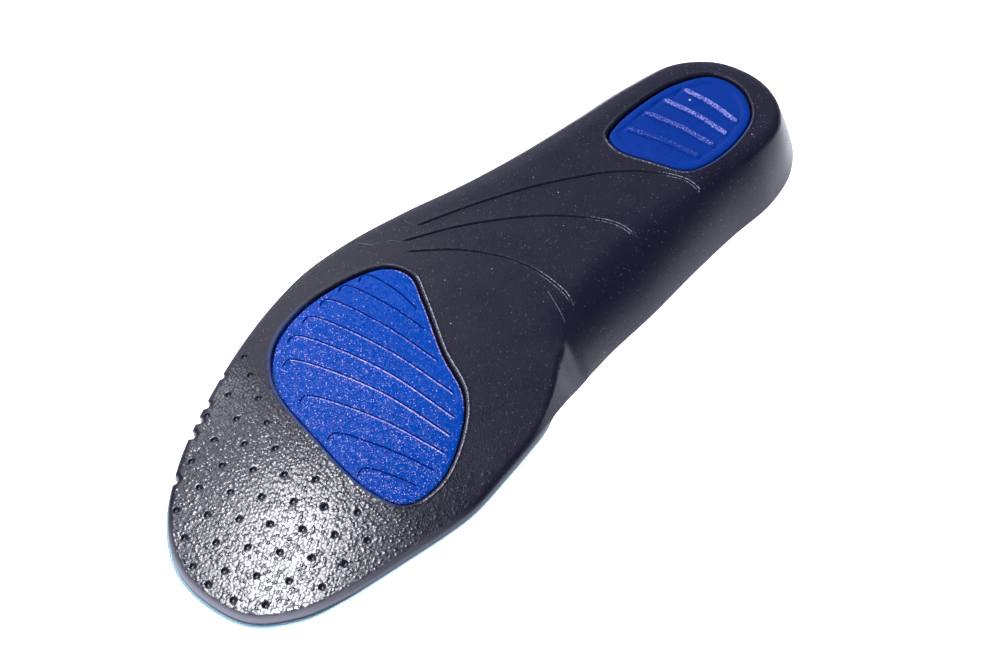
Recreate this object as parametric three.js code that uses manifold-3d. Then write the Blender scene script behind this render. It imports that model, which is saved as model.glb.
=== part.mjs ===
// Left boot insole, lying foot side down with its underside up. Millimetres, +Z up, the toe at -Y,
// the heel at +Y and the arch (inner) side at +X. The origin is on the floor under the middle of its box.
import * as THREE from 'three';
import Module from 'manifold-3d';

const wasm = await Module();
wasm.setup();

// Driving dimensions of the whole insole
const LENGTH = 282;
const TOE_HEIGHT = 4.8; // underside above the floor at the toe tip
const SOLE_RISE = 0.075; // how fast the underside climbs towards the heel, whose cup lifts it
const CROWN = 3; // how much the forefoot is dished, as a rise of its underside along the middle
const CROWN_HALF_WIDTH = 52;
const CROWN_LENGTH = 196; // the dish runs from the toe tip back to the arch
const CROWN_PEAK = 27 / 4; // scales the dish so that it is CROWN deep a third of the way along
const SPINE_TOE = { x: 8, y: -104 }; // ends of the middle line, which the surfaces close on
const SPINE_HEEL = { x: 2, y: 98 };

// Foam, cloth and gel
const FOAM_TOE = 3.4;
const FOAM_HEEL = 8;
const FOAM_GROWS = [-110, 90]; // y where the foam starts and stops getting thicker
const RIM_FOAM = 2.4; // foam at the end of the heel cup's wall
const CLOTH = 1.1;
const GLUE_LINE = 0.3; // between the foam and the cloth
const EDGE_DROP = 1; // height of the rounded edge round the forefoot
const EDGE_ROUND = 0.9; // least inset of that edge
const FLANGE_TURNED = 0.8; // flange at which foam and cloth are layered fully inwards
const WALL_BULGE = 0.5; // 0 is a flat sloping wall and 1 a quarter of an ellipse
const SHOULDER_DROP = [0.2, 0.8]; // from the flat underside to the top of the wall, forefoot and cup
const COVE_WIDTH = [3, 8]; // from the end of the flat underside to the floor of the foot side
const COVE_BEND = [0.5, 0.22]; // where the inner wall turns into that floor
const COVE_DIP = 0.5; // how far below that floor the bend of the cup lies
const FIT = 0.35; // between a gel pad and its pocket
const FOREFOOT_PAD_DEPTH = 2.2;
const HEEL_PAD_DEPTH = 4;
const HEEL_BORDER = 3; // raised border round the heel pad
const HEEL_RECESS = 0.3; // how deep the ribbed land lies inside that border
const OVERCUT = 2; // how far a cut starts above the surface

// Air holes in the toe: a slanted grid of blind holes
const HOLE_RADIUS = 1.05;
const HOLE_DEPTH = 1.9;
const HOLE_SIDES = 8;
const HOLE_ORIGIN = [2.3, -107.2];
const HOLE_COLUMN_STEP = [8.6, 5.5];
const HOLE_ROW_STEP = [9, -4.3];
const NOTCH_RADIUS = 1.4;
const NOTCH_DEPTH = 3;

// Lines in the arch and louvres in the forefoot pad
const ARCH_LINE_WIDTH = 1.3;
const ARCH_LINE_DEPTH = 0.7;
const LOUVRE_DEPTH = 0.55;
const LOUVRE_RAMP = 4.5;
const LOUVRE_LIP = 0.1; // above the pad, where the ramp of a louvre runs out
const RIB_WIDTH = 2.2;
const RIB_TOP_WIDTH = 1.1;
const RIB_HEIGHT = 0.35;
const RIB_ROOT = 1; // how deep a rib is rooted in the pad

// Mesh fineness
const AROUND = 88;
const PAD_AROUND = 44;
const ARCH_LINE_STEPS = 12;
const LOUVRE_STEPS = 7;
const RIB_STEPS = 2;
const SOLE_SHARES = [0.85, 0.45, 0.1]; // loops on the underside, from the middle line to the shoulder
const WALL_SHARES = [0, 0.25, 0.5, 0.78, 1]; // loops down the outer wall
const COVE_SHARES = [0, 0.3, 0.65, 1]; // loops up the inner wall
const FLOOR_SHARES = [0.45, 0.85]; // loops on the foot side, towards the middle line
const POCKET_SHARES = [0.7, 0];
const PAD_SHARES = [0.7, 0.35, 0];

// The edge, from the toe tip along the inner side to the heel and back along the outer side.
// x and y place the edge, inset is how far inside it the flat underside ends, and flange says how
// far the edge is drawn down to the floor: 0 on the thin forefoot, 1 on the rim of the heel cup.
const EDGE = [
  { x: 10.5, y: -141, inset: 0.9, flange: 0 },
  { x: 28.5, y: -136.6, inset: 0.9, flange: 0 },
  { x: 39.2, y: -124.7, inset: 0.9, flange: 0 },
  { x: 44.6, y: -110.9, inset: 0.9, flange: 0 },
  { x: 48.7, y: -92, inset: 0.9, flange: 0 },
  { x: 52.7, y: -66, inset: 0.9, flange: 0 },
  { x: 51.6, y: -49.5, inset: 0.9, flange: 0 },
  { x: 49.6, y: -33, inset: 1, flange: 0.02 },
  { x: 45.6, y: -15, inset: 5, flange: 0.4 },
  { x: 41.2, y: 1, inset: 8.6, flange: 0.9 },
  { x: 39.8, y: 14, inset: 14.5, flange: 1 },
  { x: 39.3, y: 36, inset: 16.8, flange: 1 },
  { x: 37.8, y: 60, inset: 14.8, flange: 1 },
  { x: 37.1, y: 82, inset: 12, flange: 1 },
  { x: 37.3, y: 104, inset: 9.8, flange: 1 },
  { x: 32.6, y: 121.6, inset: 9.4, flange: 1 },
  { x: 21.5, y: 135.4, inset: 11.2, flange: 1 },
  { x: 4.5, y: 141, inset: 13.6, flange: 1 },
  { x: -14.5, y: 136, inset: 12.6, flange: 1 },
  { x: -28.8, y: 120, inset: 10.8, flange: 1 },
  { x: -35, y: 98, inset: 10.5, flange: 1 },
  { x: -37.6, y: 72, inset: 9, flange: 0.97 },
  { x: -39.6, y: 48, inset: 6.8, flange: 0.84 },
  { x: -43, y: 24, inset: 4.8, flange: 0.6 },
  { x: -47.6, y: 0, inset: 2.4, flange: 0.3 },
  { x: -51.3, y: -22, inset: 1.1, flange: 0.06 },
  { x: -52.7, y: -41, inset: 0.9, flange: 0 },
  { x: -50, y: -60, inset: 0.9, flange: 0 },
  { x: -44.5, y: -79, inset: 0.9, flange: 0 },
  { x: -36.8, y: -98, inset: 0.9, flange: 0 },
  { x: -27.5, y: -116, inset: 0.9, flange: 0 },
  { x: -15.5, y: -131, inset: 0.9, flange: 0 },
  { x: -2.5, y: -139.2, inset: 0.9, flange: 0 },
];

// Outlines of the two gel pads, as corner points of a closed smooth curve
const FOREFOOT_PAD = [
  { x: -40.5, y: -48 }, { x: -36.5, y: -66.5 }, { x: -24.5, y: -77.5 }, { x: 0.5, y: -82 },
  { x: 24.5, y: -83 }, { x: 36.8, y: -78.5 }, { x: 39.2, y: -66.5 }, { x: 33, y: -51 },
  { x: 23, y: -39.5 }, { x: 7, y: -33 }, { x: -13, y: -22.5 }, { x: -24, y: -18 }, { x: -33, y: -22 },
];
const HEEL_PAD = [
  { x: -14.5, y: 72.4 }, { x: -8, y: 70.4 }, { x: 5, y: 74.6 }, { x: 15.5, y: 79 }, { x: 19, y: 85.5 },
  { x: 20.2, y: 100 }, { x: 16.5, y: 113 }, { x: 6, y: 119.8 }, { x: -5.5, y: 118 },
  { x: -13.2, y: 106 }, { x: -16.3, y: 89 }, { x: -16.2, y: 78 },
];

// Three lines that cross the arch, each from the outer side to the inner wall
const ARCH_LINES = [
  [{ x: -37.5, y: -1.5 }, { x: -27, y: 23 }, { x: -15.6, y: 44 }, { x: 1, y: 65.3 }, { x: 17.6, y: 75.3 },
    { x: 27, y: 75.5 }],
  [{ x: -36.3, y: -9.5 }, { x: -24.7, y: 10.5 }, { x: -5.5, y: 33.3 }, { x: 12.2, y: 45 },
    { x: 21.5, y: 46 }],
  [{ x: -32.2, y: -11.5 }, { x: -16.9, y: 2.7 }, { x: 1, y: 11.5 }, { x: 18.1, y: 12.4 }, { x: 24, y: 11 }],
];

// Louvres of the forefoot pad, each from its outer end to its inner end, with the bow of its middle
const LOUVRES = [
  { from: [-33, -27], to: [-13, -26], bow: 1.6 },
  { from: [-36, -35], to: [-5.5, -30.5], bow: 1.2 },
  { from: [-36.5, -43], to: [6.8, -36.5], bow: 1.6 },
  { from: [-35.5, -51.5], to: [19, -41.5], bow: 2.2 },
  { from: [-33.5, -60], to: [25.5, -47.5], bow: 3 },
  { from: [-27.5, -67.5], to: [29, -53], bow: 3 },
  { from: [-13.5, -73.2], to: [32.5, -58.5], bow: 2 },
  { from: [3, -76.5], to: [34, -65], bow: 1 },
  { from: [19, -79], to: [33.8, -72.5], bow: 0.5 },
];

// Ribs across the heel pad
const HEEL_RIBS = [
  { from: [-8.5, 107], to: [14, 107.2] },
  { from: [-11, 98.4], to: [15.2, 100.4] },
  { from: [-11.8, 89.6], to: [15, 93.4] },
  { from: [-12, 79.6], to: [14.4, 86.2] },
];

// Rows of air holes: the first and last hole of each, counted along the row's own columns
const HOLE_ROWS = [
  { row: -5, first: 1, last: 1 }, { row: -4, first: 0, last: 1 }, { row: -3, first: -1, last: 1 },
  { row: -2, first: -1, last: 1 }, { row: -1, first: -2, last: 2 }, { row: 0, first: -2, last: 3 },
  { row: 1, first: -3, last: 3 }, { row: 2, first: -3, last: 2 }, { row: 3, first: -3, last: 1 },
  { row: 4, first: -2, last: -1 },
];

// Holes near the edge that stand a little off that grid
const STRAY_HOLES = [{ x: -41.2, y: -76.8 }, { x: 12, y: -138.2 }];

// Small bites where air holes were cut by the outer edge of the toe
const NOTCHES = [
  { x: -42.6, y: -86.4 }, { x: -38.6, y: -96.8 }, { x: -35.5, y: -103.4 }, { x: -33, y: -107.8 },
  { x: -24.6, y: -122.2 },
];

const DOWN = new THREE.Vector3(0, 0, -1);
const lerp = THREE.MathUtils.lerp;
const smoothstep = THREE.MathUtils.smoothstep;

// Height of the underside: a slope from toe to heel with a dished forefoot
function soleHeight(x, y) {
  const along = THREE.MathUtils.clamp((y + LENGTH / 2) / CROWN_LENGTH, 0, 1);
  const crown = CROWN * CROWN_PEAK * along * (1 - along) ** 2;
  return TOE_HEIGHT + SOLE_RISE * (y + LENGTH / 2) + crown * (1 - (x / CROWN_HALF_WIDTH) ** 2);
}

function foamThickness(y) {
  return lerp(FOAM_TOE, FOAM_HEEL, smoothstep(y, FOAM_GROWS[0], FOAM_GROWS[1]));
}

function onSole(x, y, below = 0) {
  return new THREE.Vector3(x, y, soleHeight(x, y) - below);
}

// A point on the middle line of the insole that faces an edge point at y
function spinePoint(y) {
  const along = THREE.MathUtils.clamp((y - SPINE_TOE.y) / (SPINE_HEEL.y - SPINE_TOE.y), 0, 1);
  const toe = new THREE.Vector3(SPINE_TOE.x, SPINE_TOE.y, 0);
  return toe.lerp(new THREE.Vector3(SPINE_HEEL.x, SPINE_HEEL.y, 0), along);
}

// Triangles that close a loop from its lowest y to its highest, like a zip between its two sides
function zipped(loop) {
  const count = loop.length;
  let right = loop.reduce((low, p, i) => (p.y < loop[low].y ? i : low), 0);
  let left = right;
  const triangles = [];
  for (let step = 1; step < count; step += 1) {
    const up = (right + 1) % count;
    const back = (left + count - 1) % count;
    const onRight = loop[up].y < loop[back].y;
    if (right !== left) triangles.push([left, right, onRight ? up : back]);
    if (onRight) right = up;
    else left = back;
  }
  return triangles;
}

// Skins a stack of closed loops, all with the same number of points, and closes both ends
function loftGeometry(loops) {
  const count = loops[0].length;
  const position = loops.flat().flatMap((p) => [p.x, p.y, p.z]);
  const index = [];
  for (let k = 0; k + 1 < loops.length; k += 1) {
    for (let i = 0; i < count; i += 1) {
      const next = (i + 1) % count;
      const [a, b] = [k * count + i, k * count + next];
      const [c, d] = [a + count, b + count];
      index.push(a, c, d, a, d, b);
    }
  }
  for (const [a, b, c] of zipped(loops[0])) index.push(a, b, c);
  const last = (loops.length - 1) * count;
  for (const [a, b, c] of zipped(loops.at(-1))) index.push(last + a, last + c, last + b);
  const geometry = new THREE.BufferGeometry();
  geometry.setAttribute('position', new THREE.Float32BufferAttribute(position, 3));
  geometry.setIndex(index);
  return geometry;
}

function solid(geometry) {
  return new wasm.Manifold(new wasm.Mesh({
    numProp: 3,
    vertProperties: Float32Array.from(geometry.attributes.position.array),
    triVerts: Uint32Array.from(geometry.index.array),
  }));
}

function geometryOf(manifold) {
  const mesh = manifold.getMesh();
  const geometry = new THREE.BufferGeometry();
  geometry.setAttribute('position', new THREE.BufferAttribute(mesh.vertProperties, 3));
  geometry.setIndex(new THREE.BufferAttribute(mesh.triVerts, 1));
  geometry.computeVertexNormals();
  return geometry;
}

function closedCurve(pairs) {
  return new THREE.CatmullRomCurve3(pairs.map(([a, b]) => new THREE.Vector3(a, b, 0)), true);
}

// The sections round the insole: where its edge and the end of its flat underside lie, and the
// direction in which foam and cloth are layered there (down on the forefoot, inwards on the rim)
function edgeSections() {
  const edge = closedCurve(EDGE.map(({ x, y }) => [x, y]));
  const wall = closedCurve(EDGE.map(({ inset, flange }) => [inset, flange]));
  const sections = [];
  for (let i = 0; i < AROUND; i += 1) {
    const t = edge.getUtoTmapping(i / AROUND);
    const point = edge.getPoint(t);
    const tangent = edge.getTangent(t);
    const outward = new THREE.Vector3(tangent.y, -tangent.x, 0);
    const inset = Math.max(wall.getPoint(t).x, EDGE_ROUND);
    const flange = THREE.MathUtils.clamp(wall.getPoint(t).y, 0, 1);
    const drawn = smoothstep(flange, 0, FLANGE_TURNED);
    const sole = point.clone().addScaledVector(outward, -inset);
    const tip = point.clone();
    tip.z = (soleHeight(point.x, point.y) - EDGE_DROP) * (1 - flange);
    const layer = DOWN.clone().multiplyScalar(1 - drawn).addScaledVector(outward, -drawn).normalize();
    sections.push({ sole, tip, outward, drawn, layer });
  }
  return sections;
}

const sections = edgeSections();

// A loop on the underside, at a share of the way from the end of the flat to the middle line
function soleLoop(share) {
  return sections.map(({ sole }) => {
    const p = sole.clone().lerp(spinePoint(sole.y), share);
    return onSole(p.x, p.y);
  });
}

// A loop on the outer wall, bulging from the flat underside to the edge
function wallLoop(share) {
  const quarter = (share * Math.PI) / 2;
  const out = lerp(share, Math.sin(quarter), WALL_BULGE);
  const down = lerp(share, 1 - Math.cos(quarter), WALL_BULGE);
  return sections.map(({ sole, tip, drawn }) => {
    const p = sole.clone().lerp(tip, out);
    const top = soleHeight(sole.x, sole.y) - lerp(SHOULDER_DROP[0], SHOULDER_DROP[1], drawn);
    p.z = lerp(top, tip.z, down);
    return p;
  });
}

// Loops on the foot side of the foam, from the end of the edge over the inner wall to the floor of
// the cup, each moved by a depth towards the foot
function footLoops(depth) {
  const ends = sections.map(({ sole, tip, outward, drawn, layer }) => {
    const foam = lerp(foamThickness(tip.y) - EDGE_DROP, RIM_FOAM, drawn);
    const start = tip.clone().addScaledVector(layer, foam);
    const floor = sole.clone().addScaledVector(outward, -lerp(COVE_WIDTH[0], COVE_WIDTH[1], drawn));
    floor.copy(onSole(floor.x, floor.y, foamThickness(floor.y)));
    const bend = start.clone().lerp(floor, lerp(COVE_BEND[0], COVE_BEND[1], drawn));
    bend.z = lerp(bend.z, floor.z - COVE_DIP, drawn);
    return { start, bend, floor, layer };
  });
  const along = (share) => ends.map(({ start, bend, floor, layer }) => {
    const p = new THREE.QuadraticBezierCurve3(start, bend, floor).getPoint(share);
    return p.addScaledVector(layer.clone().lerp(DOWN, share).normalize(), depth);
  });
  const inside = (share) => ends.map(({ floor }) => {
    const p = floor.clone().lerp(spinePoint(floor.y), share);
    return onSole(p.x, p.y, foamThickness(p.y) + depth);
  });
  return [...COVE_SHARES.map(along), ...FLOOR_SHARES.map(inside)];
}

// The outline of a pad, grown outwards by a clearance
function padOutline(rows, grow) {
  const curve = closedCurve(rows.map(({ x, y }) => [x, y]));
  return Array.from({ length: PAD_AROUND }, (_, i) => {
    const u = i / PAD_AROUND;
    const tangent = curve.getTangentAt(u);
    return curve.getPointAt(u).add(new THREE.Vector3(tangent.y, -tangent.x, 0).multiplyScalar(grow));
  });
}

// A plug with a smooth outline that follows the underside, from a depth to a height above it
function plug(rows, grow, depth, height, shares) {
  const outline = padOutline(rows, grow);
  const centre = outline.reduce((sum, p) => sum.add(p), new THREE.Vector3()).divideScalar(outline.length);
  const loop = (share, below) => outline.map((p) => {
    const q = p.clone().lerp(centre, share);
    return onSole(q.x, q.y, below);
  });
  const top = shares.map((share) => loop(share, -height));
  const bottom = shares.map((share) => loop(share, depth)).reverse();
  return solid(loftGeometry([...top, ...bottom]));
}

// A groove or rib along a smooth line on the underside, with a section of [across, up] corners
function runAlong(points, steps, section) {
  const curve = new THREE.CatmullRomCurve3(points.map(([x, y]) => new THREE.Vector3(x, y, 0)));
  const loops = [];
  for (let i = 0; i <= steps; i += 1) {
    const p = curve.getPointAt(i / steps);
    const tangent = curve.getTangentAt(i / steps);
    loops.push(section.map(([across, up]) => {
      const q = p.clone().add(new THREE.Vector3(-tangent.y, tangent.x, 0).multiplyScalar(across));
      return onSole(q.x, q.y, -up);
    }));
  }
  return solid(prismGeometry(loops));
}

// Skins a row of equal sections into a bar and closes its two ends with fans
function prismGeometry(loops) {
  const count = loops[0].length;
  const position = loops.flat().flatMap((p) => [p.x, p.y, p.z]);
  const index = [];
  for (let k = 0; k + 1 < loops.length; k += 1) {
    for (let i = 0; i < count; i += 1) {
      const next = (i + 1) % count;
      const [a, b] = [k * count + i, k * count + next];
      index.push(a, b, b + count, a, b + count, a + count);
    }
  }
  const last = (loops.length - 1) * count;
  for (let i = 1; i + 1 < count; i += 1) {
    index.push(0, i + 1, i);
    index.push(last, last + i, last + i + 1);
  }
  const geometry = new THREE.BufferGeometry();
  geometry.setAttribute('position', new THREE.Float32BufferAttribute(position, 3));
  geometry.setIndex(index);
  return geometry;
}

function together(solids) {
  return solids.reduce((all, next) => all.add(next));
}

// A blind hole of round section, sunk from above the underside
function drill(x, y, radius, depth) {
  const tall = depth + OVERCUT;
  const geometry = new THREE.CylinderGeometry(radius, radius, tall, HOLE_SIDES);
  geometry.rotateX(Math.PI / 2);
  geometry.translate(x, y, soleHeight(x, y) - depth + tall / 2);
  geometry.deleteAttribute('normal');
  geometry.deleteAttribute('uv');
  return solid(weld(geometry));
}

// Joins the vertices that lie at one place, so that the faces share them
function weld(geometry) {
  const seen = new Map();
  const position = [];
  const index = [];
  for (const vertex of geometry.index.array) {
    const p = new THREE.Vector3().fromBufferAttribute(geometry.attributes.position, vertex);
    const key = p.toArray().map((value) => value.toFixed(4)).join();
    if (!seen.has(key)) {
      seen.set(key, seen.size);
      position.push(p.x, p.y, p.z);
    }
    index.push(seen.get(key));
  }
  const welded = new THREE.BufferGeometry();
  welded.setAttribute('position', new THREE.Float32BufferAttribute(position, 3));
  welded.setIndex(index);
  return welded;
}

function airHoles() {
  const holes = STRAY_HOLES.map(({ x, y }) => drill(x, y, HOLE_RADIUS, HOLE_DEPTH));
  for (const { row, first, last } of HOLE_ROWS) {
    for (let column = first; column <= last; column += 1) {
      const x = HOLE_ORIGIN[0] + column * HOLE_COLUMN_STEP[0] + row * HOLE_ROW_STEP[0];
      const y = HOLE_ORIGIN[1] + column * HOLE_COLUMN_STEP[1] + row * HOLE_ROW_STEP[1];
      holes.push(drill(x, y, HOLE_RADIUS, HOLE_DEPTH));
    }
  }
  return holes;
}

function notches() {
  return NOTCHES.map(({ x, y }) => drill(x, y, NOTCH_RADIUS, NOTCH_DEPTH));
}

function archLines() {
  const half = ARCH_LINE_WIDTH / 2;
  const section = [[0, -ARCH_LINE_DEPTH], [half, ARCH_LINE_DEPTH], [-half, ARCH_LINE_DEPTH]];
  return ARCH_LINES.map((line) => runAlong(line.map(({ x, y }) => [x, y]), ARCH_LINE_STEPS, section));
}

function foamBase() {
  const body = solid(loftGeometry([
    ...SOLE_SHARES.map(soleLoop), ...WALL_SHARES.map(wallLoop), ...footLoops(0),
  ]));
  const pockets = [
    plug(FOREFOOT_PAD, FIT, FOREFOOT_PAD_DEPTH + FIT, OVERCUT, POCKET_SHARES),
    plug(HEEL_PAD, FIT, HEEL_PAD_DEPTH + FIT, OVERCUT, POCKET_SHARES),
  ];
  return body.subtract(together([...pockets, ...airHoles(), ...notches(), ...archLines()]));
}

function forefootPad() {
  const body = plug(FOREFOOT_PAD, 0, FOREFOOT_PAD_DEPTH, 0, PAD_SHARES);
  const section = [[0, -LOUVRE_DEPTH], [0, OVERCUT], [-LOUVRE_RAMP, OVERCUT], [-LOUVRE_RAMP, LOUVRE_LIP]];
  const cuts = LOUVRES.map(({ from, to, bow }) => {
    const middle = [(from[0] + to[0]) / 2, (from[1] + to[1]) / 2 + bow];
    return runAlong([from, middle, to], LOUVRE_STEPS, section);
  });
  return body.subtract(together(cuts));
}

function heelPad() {
  const body = plug(HEEL_PAD, 0, HEEL_PAD_DEPTH, 0, POCKET_SHARES);
  const land = plug(HEEL_PAD, -HEEL_BORDER, HEEL_RECESS, OVERCUT, POCKET_SHARES);
  const [foot, top] = [RIB_WIDTH / 2, RIB_TOP_WIDTH / 2];
  const section = [[-foot, -RIB_ROOT], [foot, -RIB_ROOT], [top, RIB_HEIGHT], [-top, RIB_HEIGHT]];
  const ribs = HEEL_RIBS.map(({ from, to }) => runAlong([from, to], RIB_STEPS, section));
  return body.subtract(land).add(together(ribs));
}

function topCover() {
  const outer = footLoops(GLUE_LINE).reverse();
  return solid(loftGeometry([...outer, ...footLoops(GLUE_LINE + CLOTH)]));
}

function piece(name, manifold, look) {
  const mesh = new THREE.Mesh(geometryOf(manifold), new THREE.MeshStandardMaterial(look));
  mesh.name = name;
  return mesh;
}

const insole = new THREE.Group();
insole.add(piece('foam_base', foamBase(), { color: 0x2a2a31, roughness: 0.55, metalness: 0 }));
insole.add(piece('forefoot_gel_pad', forefootPad(), { color: 0x0f3aa8, roughness: 0.35, metalness: 0 }));
insole.add(piece('heel_gel_pad', heelPad(), { color: 0x0b379e, roughness: 0.35, metalness: 0 }));
insole.add(piece('top_cover', topCover(), { color: 0x86bfd2, roughness: 0.9, metalness: 0 }));

export default insole;
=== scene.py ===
import bpy
import numpy as np
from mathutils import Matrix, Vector, geometry, kdtree


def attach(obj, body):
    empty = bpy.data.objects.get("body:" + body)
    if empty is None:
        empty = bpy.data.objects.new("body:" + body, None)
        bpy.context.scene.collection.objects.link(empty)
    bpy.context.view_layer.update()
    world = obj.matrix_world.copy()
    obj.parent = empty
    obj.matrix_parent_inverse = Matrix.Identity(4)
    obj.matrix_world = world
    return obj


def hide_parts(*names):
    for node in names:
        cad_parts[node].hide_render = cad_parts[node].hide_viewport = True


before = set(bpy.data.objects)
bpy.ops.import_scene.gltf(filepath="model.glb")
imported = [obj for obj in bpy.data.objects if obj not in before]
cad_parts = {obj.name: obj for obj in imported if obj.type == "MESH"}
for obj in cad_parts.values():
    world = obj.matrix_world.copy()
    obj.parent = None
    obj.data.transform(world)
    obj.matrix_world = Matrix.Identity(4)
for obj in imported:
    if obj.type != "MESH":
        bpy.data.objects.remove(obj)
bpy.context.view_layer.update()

# Foam base. The black body of the insole: a thin forefoot, an arch flange on the inner side and a deep
# heel cup. It is moulded in one piece of soft foam, and the mould also forms the air holes, the flex
# lines over the arch and the two gel pockets. The toe was trimmed by hand, through some of the holes.
MM = 0.001
LENGTH = 282.0
TOE_HEIGHT = 4.8
SOLE_RISE = 0.075
CROWN = 3.0
CROWN_PEAK = 27 / 4
CROWN_HALF_WIDTH = 52.0
CROWN_LENGTH = 196.0
FOAM_TOE = 3.4
FOAM_HEEL = 8.0
FOAM_GROWS = (-110.0, 90.0)
RIM_FOAM = 2.4
EDGE_DROP = 1.0
EDGE_ROUND = 0.9
# the front of the toe was trimmed and falls off more steeply: drop and width of its round, where it
# begins and is full towards the toe, the side it faces, and how far an edge has to face that way
TOE_DROP = 1.6
TOE_ROUND = 0.65
TOE_FRONT = (100.0, 132.0)
CUT_SIDE = np.array([0.4, -0.92])
TOE_FACING = (0.2, 0.8)
FLANGE_TURNED = 0.8
# how far the shoulder has dropped at the wall, on a thin edge and over a wall
SHOULDER_DROP = (0.15, 0.8)
# how far in that drop reaches: on a thin edge, over a flat wall and over a round one; and the bulge from
# which a wall is round
SHOULDER_REACH = (0.8, 1.5, 6.5)
ROUND_WALL = 0.5
# the hollow of the foot side, on a thin edge and inside a wall; and where its loops and the wall's lie
COVE_WIDTH = (3.0, 8.0)
COVE_BEND = (0.5, 0.22)
COVE_DIP = 0.5
COVE_SHARES = (0, 0.12, 0.3, 0.5, 0.7, 0.85, 1)
FLOOR_SHARES = (0.2, 0.45, 0.7, 0.88)
WALL_SHARES = (0.08, 0.18, 0.3, 0.42, 0.54, 0.66, 0.78, 0.88, 0.95, 1)
SPINE = ((8.0, -104.0), (2.0, 98.0))

# The edge from the toe tip along the inner side, round the heel and back: x, y, inset of the flat
# underside, flange (0 thin edge, 1 drawn down to the floor) and bulge of the wall (0 flat, 1 round).
EDGE = [
    (10.5, -141, 0.9, 0, 0.5), (28.5, -136.6, 0.9, 0, 0.5), (39.2, -124.7, 0.9, 0, 0.5),
    (44.6, -110.9, 0.9, 0, 0.5), (48.7, -92, 0.9, 0, 0.5), (52.7, -66, 0.9, 0, 0.5),
    (51.6, -49.5, 0.9, 0, 0.4), (49.6, -33, 1, 0.02, 0.2), (47.6, -23.5, 2.2, 0.2, 0),
    (45.4, -14.5, 4.2, 0.44, 0), (43.4, -7, 6.6, 0.72, 0), (42, -1.5, 8, 0.88, 0.05),
    (41.2, 2, 11, 0.93, 0.55), (40.5, 7, 13.6, 0.98, 0.75), (39.8, 14, 14.8, 1, 0.78),
    (39.3, 36, 16.8, 1, 0.75), (37.8, 60, 14.8, 1, 0.7), (37.1, 82, 12, 1, 0.6),
    (37.3, 104, 8.8, 1, 0.4), (32.6, 121.4, 7.4, 1, 0.15), (21.2, 135, 10.2, 1, 0.15),
    (4.5, 141, 12.6, 1, 0.3), (-14.5, 136, 12.4, 1, 0.4), (-28.8, 120, 10.8, 1, 0.5),
    (-35, 98, 10.5, 1, 0.5), (-37.6, 72, 9, 0.97, 0.5), (-39.6, 48, 6.8, 0.84, 0.5),
    (-43, 24, 4.8, 0.6, 0.5), (-47.6, 0, 2.4, 0.3, 0.5), (-51.3, -22, 1.1, 0.06, 0.5),
    (-52.7, -41, 0.9, 0, 0.5), (-50, -60, 0.9, 0, 0.5), (-44.5, -79, 0.9, 0, 0.5),
    (-36.8, -98, 0.9, 0, 0.5), (-27.5, -116, 0.9, 0, 0.5), (-15.5, -131, 0.9, 0, 0.5),
    (-2.5, -139.2, 0.9, 0, 0.5),
]
EDGE_STEPS = 50
EDGE_POINTS = 860
# Bites in the trimmed edge of the toe: x, y, radius
NOTCHES = [
    (-42.2, -86.8, 1.4), (-37.6, -97.4, 1.8), (-34.6, -102.6, 1.5), (-32.2, -107.8, 1.7),
    (-24, -122, 1.8),
]
# points crowd together at the notches and where the flange begins: how much closer, and how far round
NOTCH_CROWDING = (2.5, 3.5)
FLANGE_CORNER = (41.6, 0.0)
FLANGE_CROWDING = (1.5, 6.0)


def smooth(value, low, high):
    t = np.clip((value - low) / (high - low), 0, 1)
    return t * t * (3 - 2 * t)


def mix(a, b, share):
    return a + (b - a) * share


def sole_height(x, y):
    along = np.clip((y + LENGTH / 2) / CROWN_LENGTH, 0, 1)
    crown = CROWN * CROWN_PEAK * along * (1 - along) ** 2
    return TOE_HEIGHT + SOLE_RISE * (y + LENGTH / 2) + crown * (1 - (x / CROWN_HALF_WIDTH) ** 2)


def foam_thickness(y):
    return mix(FOAM_TOE, FOAM_HEEL, smooth(y, *FOAM_GROWS))


def on_sole(xy, below=0.0):
    return np.column_stack([xy, sole_height(xy[:, 0], xy[:, 1]) - below])


def spline(rows, steps, closed):
    """A smooth curve through the rows; columns after x and y are carried along."""
    p = np.asarray(rows, float)
    if closed:
        p = np.vstack([p[-1], p, p[:2]])
    else:
        p = np.vstack([2 * p[0] - p[1], p, 2 * p[-1] - p[-2]])
    p0, p1, p2, p3 = p[:-3], p[1:-2], p[2:-1], p[3:]
    d0, d1, d2 = [
        np.sqrt(np.linalg.norm((b - a)[:, :2], axis=1))[:, None]
        for a, b in ((p0, p1), (p1, p2), (p2, p3))
    ]
    t1 = ((p1 - p0) / d0 - (p2 - p0) / (d0 + d1) + (p2 - p1) / d1) * d1
    t2 = ((p2 - p1) / d1 - (p3 - p1) / (d1 + d2) + (p3 - p2) / d2) * d1
    u = (np.arange(steps) / steps)[None, :, None]
    p1, p2, t1, t2 = [a[:, None, :] for a in (p1, p2, t1, t2)]
    curve = (
        (2 * u**3 - 3 * u**2 + 1) * p1
        + (u**3 - 2 * u**2 + u) * t1
        + (3 * u**2 - 2 * u**3) * p2
        + (u**3 - u**2) * t2
    )
    curve = curve.reshape(-1, p.shape[1])
    return curve if closed else np.vstack([curve, p[-2]])


def spaced(curve, count, closed, crowding=None):
    """Points along a curve at even steps, or closer together where crowding is high."""
    loop = np.vstack([curve, curve[:1]]) if closed else curve
    step = np.linalg.norm(np.diff(loop[:, :2], axis=0), axis=1)
    if crowding is not None:
        step = step * (crowding + np.roll(crowding, -1))[: len(step)] / 2
    run = np.concatenate([[0], np.cumsum(step)])
    stops = np.arange(count) / count * run[-1] if closed else np.linspace(0, run[-1], count)
    return np.column_stack([np.interp(stops, run, column) for column in loop.T])


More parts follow.
